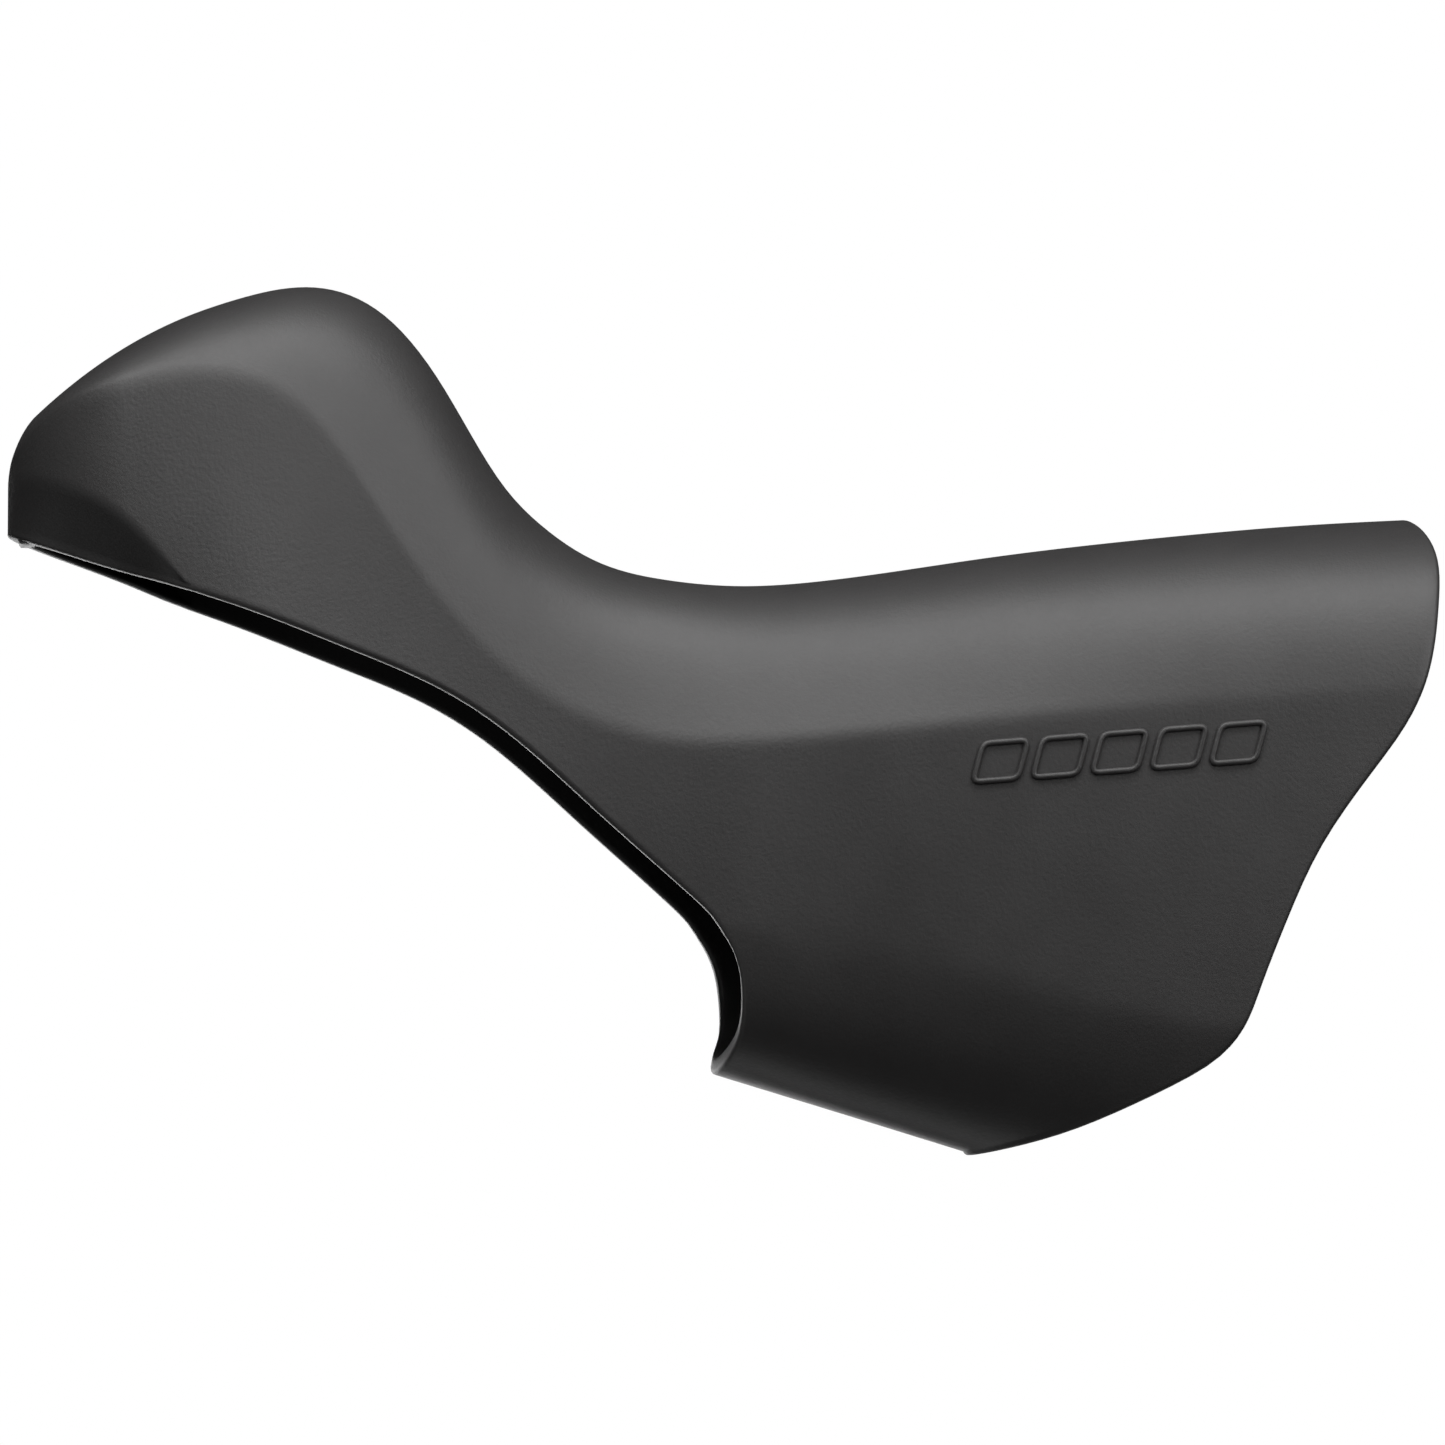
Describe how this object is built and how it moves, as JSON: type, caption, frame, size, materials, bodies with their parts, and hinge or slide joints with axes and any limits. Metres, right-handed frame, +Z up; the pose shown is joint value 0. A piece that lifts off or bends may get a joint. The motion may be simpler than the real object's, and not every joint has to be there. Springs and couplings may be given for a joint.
{
  "type": "brake lever hood",
  "caption": "Hollow moulded rubber hood for a drop-bar brake and shift lever, with a raised horn, an open front slot and a slanted rear mouth.",
  "frame": {"origin": "middle of the rear mouth, on the plane of symmetry, halfway up the slanted rear rim", "axes": "+X back towards the handlebar, out of the rear mouth; +Z up, the way the horn points; Y across, Y = 0 is the plane of symmetry"},
  "size_m": [0.1303, 0.0366, 0.0799],
  "materials": {
    "hood_rubber": "matt moulded elastomer, fine grain"
  },
  "bodies": {
    "root": {"lever_hood": "hood_rubber"}
  },
  "joints": []
}
